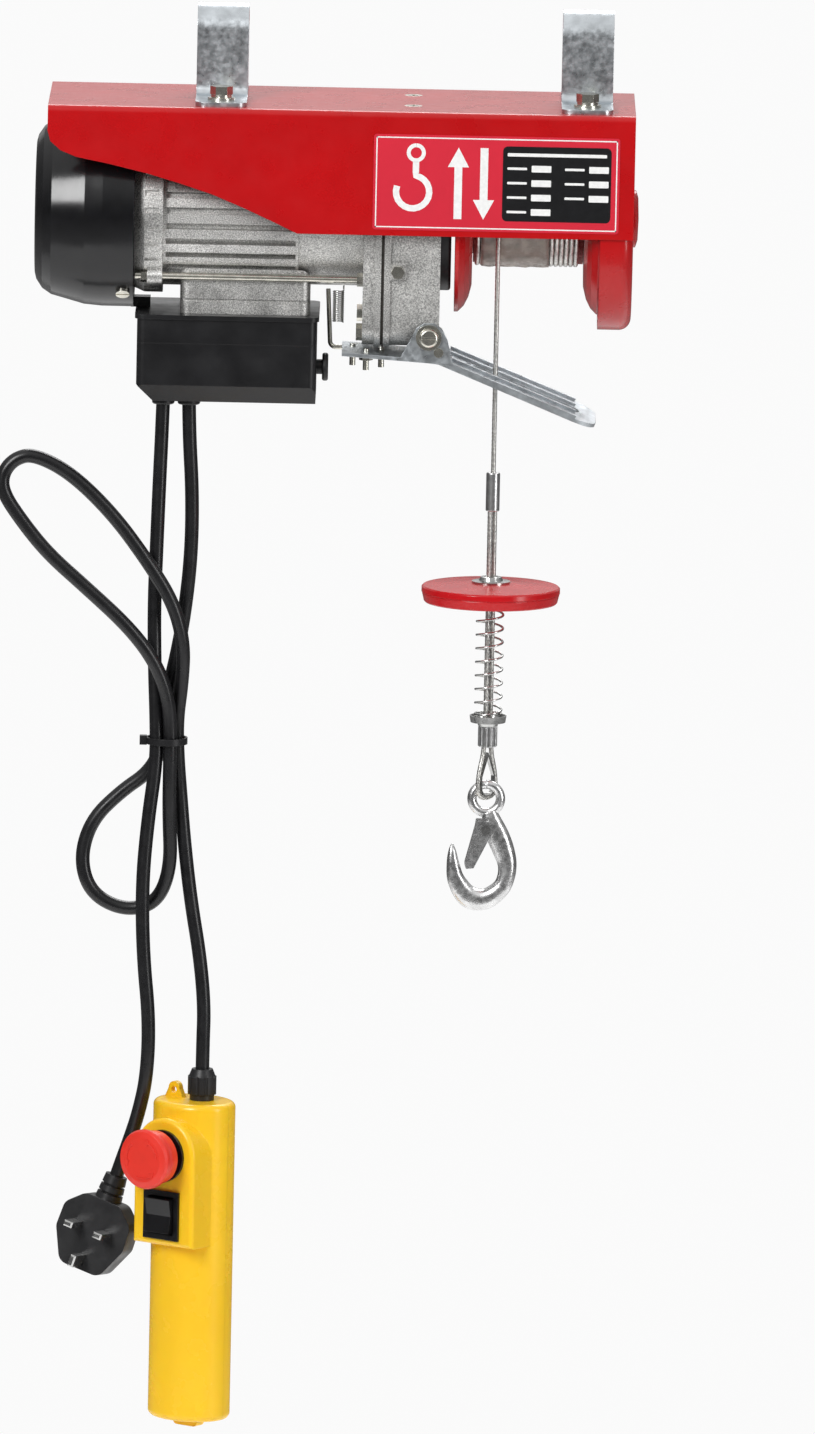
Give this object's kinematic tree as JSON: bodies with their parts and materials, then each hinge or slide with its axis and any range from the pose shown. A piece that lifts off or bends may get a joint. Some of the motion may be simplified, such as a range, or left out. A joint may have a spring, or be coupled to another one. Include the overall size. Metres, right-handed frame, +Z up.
{
  "type": "electric wire-rope hoist",
  "caption": "Electric wire-rope hoist hung from a round bar, with geared motor, rope drum, limit lever, latched hook, mains lead with plug, and a hand pendant with stop button and rocker.",
  "frame": {"origin": "on the axis of the round support bar, midway between the two hanging brackets", "axes": "+X along the bar and the drum axis towards the drum end, +Z up, -Y towards the front with the rating label"},
  "size_m": [0.4231, 0.1509, 0.9555],
  "materials": {
    "zinc_strap": "bright zinc plate on rolled strap",
    "zinc_bolts": "zinc-plated fasteners",
    "red_paint": "gloss powder coat",
    "label_plate": "printed plate with a plain border and a blank data panel",
    "black_gloss": "gloss moulded plastic",
    "black_matt": "satin moulded plastic",
    "black_paint": "dark satin paint",
    "cast_alloy": "sand-cast and shot-blasted",
    "soft_alloy": "pressed sleeve",
    "dark_steel": "oiled steel",
    "bright_steel": "ground and plated steel",
    "forged_zinc": "forged, zinc plated, softly pitted",
    "copper": "enamelled copper",
    "gasket_board": "pressed gasket board",
    "wire_rope": "stranded galvanised wire",
    "red_plastic": "gloss moulded plastic",
    "red_button": "satin moulded plastic",
    "yellow_plastic": "gloss moulded plastic",
    "grey_plastic": "moulded",
    "black_rubber": "moulded rubber",
    "cord_sheath": "smooth PVC sheath"
  },
  "bodies": {
    "root": {"hanging_brackets": "zinc_strap", "bracket_bolts": "zinc_bolts", "housing_shell": "red_paint", "end_bracket": "red_paint", "bearing_cap": "red_paint", "rating_label": "label_plate", "fan_cover": "black_gloss", "rear_end_bell": "cast_alloy", "stator_housing": "cast_alloy", "stator_core": "dark_steel", "stator_windings": "copper", "ball_bearings": "bright_steel", "motor_fasteners": "zinc_bolts", "motor_foot": "cast_alloy", "front_flange": "cast_alloy", "flange_gasket": "gasket_board", "gearbox_case": "cast_alloy", "gearbox_bolts": "zinc_bolts", "bearing_collar": "black_paint", "lever_pivot": "zinc_bolts", "control_box_base": "black_matt", "control_box_cover": "black_matt", "run_capacitor": "grey_plastic", "limit_switch": "grey_plastic", "cord_grommets": "black_rubber", "mains_cord": "cord_sheath", "pendant_cord": "cord_sheath", "cable_tie": "black_matt", "plug_body": "black_rubber", "plug_pins": "bright_steel", "pendant_front": "yellow_plastic", "pendant_rear": "yellow_plastic", "pendant_bezels": "black_gloss"},
    "rotor": {"rotor_core": "dark_steel", "motor_shaft": "dark_steel", "cooling_fan": "black_matt"},
    "layshaft": {"layshaft_gear": "dark_steel"},
    "drum": {"drum_gear": "dark_steel", "drum_shaft": "bright_steel", "drum_spool": "red_paint", "rope_winding": "wire_rope"},
    "lifting_line": {"hoist_rope": "wire_rope", "rope_ferrules": "soft_alloy", "rope_sling": "wire_rope", "spring_cup": "bright_steel", "thimble": "bright_steel", "buffer_spring": "bright_steel"},
    "stop_plate": {"stop_disc": "red_plastic", "disc_washer": "bright_steel"},
    "load_hook": {"hook": "forged_zinc", "latch_pin": "bright_steel"},
    "safety_latch": {"hook_latch": "forged_zinc"},
    "lever": {"limit_lever": "zinc_strap", "lever_screws": "zinc_bolts", "limit_rod": "zinc_bolts", "lever_spring": "bright_steel"},
    "box_knob": {"limit_knob": "black_rubber"},
    "stop_plunger": {"stop_stem": "black_matt"},
    "stop_mushroom": {"stop_head": "red_button"},
    "rocker": {"rocker_button": "black_gloss"}
  },
  "joints": [
    {"name": "rotor_spin", "type": "hinge", "parent": "root", "child": "rotor", "pos_m": [-0.1, 0, -0.122], "axis": [-1, 0, 0], "range_deg": [0, 4700]},
    {"name": "layshaft_spin", "type": "hinge", "parent": "root", "child": "layshaft", "pos_m": [0, 0, -0.162], "axis": [1, 0, 0], "range_deg": [0, 880]},
    {"name": "drum_spin", "type": "hinge", "parent": "root", "child": "drum", "pos_m": [0.08, 0, -0.122], "axis": [-1, 0, 0], "range_deg": [0, 165]},
    {"name": "hook_lift", "type": "slide", "parent": "root", "child": "lifting_line", "axis": [0, 0, 1], "range_m": [0, 0.1], "deforming": ["hoist_rope"]},
    {"name": "disc_slide", "type": "slide", "parent": "lifting_line", "child": "stop_plate", "axis": [0, 0, -1], "range_m": [0, 0.04], "stiffness_N_per_m": 400, "springref_m": -0.01, "deforming": ["buffer_spring"]},
    {"name": "hook_swing", "type": "hinge", "parent": "lifting_line", "child": "load_hook", "pos_m": [0.064, -0.0349, -0.507], "axis": [0, 1, 0], "range_deg": [-20, 20]},
    {"name": "latch_pivot", "type": "hinge", "parent": "load_hook", "child": "safety_latch", "pos_m": [0.064, -0.0349, -0.528], "axis": [0, -1, 0], "range_deg": [0, 35], "stiffness_Nm_per_rad": 0.02, "springref_deg": -22.92},
    {"name": "lever_lift", "type": "hinge", "parent": "root", "child": "lever", "pos_m": [0.0193, -0.045, -0.196], "axis": [0, -1, 0], "range_deg": [0, 10], "stiffness_Nm_per_rad": 2, "springref_deg": -8.59, "deforming": ["lever_spring"]},
    {"name": "knob_push", "type": "slide", "parent": "root", "child": "box_knob", "axis": [-1, 0, 0], "range_m": [0, 0.003], "stiffness_N_per_m": 600, "springref_m": -0.002},
    {"name": "stop_press", "type": "slide", "parent": "root", "child": "stop_plunger", "axis": [0.6018, 0.7986, 0], "range_m": [0, 0.004], "stiffness_N_per_m": 1500, "springref_m": -0.002},
    {"name": "stop_twist", "type": "hinge", "parent": "stop_plunger", "child": "stop_mushroom", "pos_m": [-0.1263, -0.018, -0.752], "axis": [-0.6018, -0.7986, 0], "range_deg": [0, 45], "stiffness_Nm_per_rad": 0.05, "springref_deg": -11.46},
    {"name": "rocker_tilt", "type": "hinge", "parent": "root", "child": "rocker", "pos_m": [-0.14556, -0.04356, -0.792], "axis": [0.7986, -0.6018, 0], "range_deg": [-8, 8], "stiffness_Nm_per_rad": 0.2}
  ],
  "couplings": [
    {"joint": "layshaft_spin", "follows": "rotor_spin", "ratio": 0.18519},
    {"joint": "drum_spin", "follows": "rotor_spin", "ratio": 0.034294},
    {"joint": "hook_lift", "follows": "rotor_spin", "m_per_rad": 0.0011968}
  ]
}
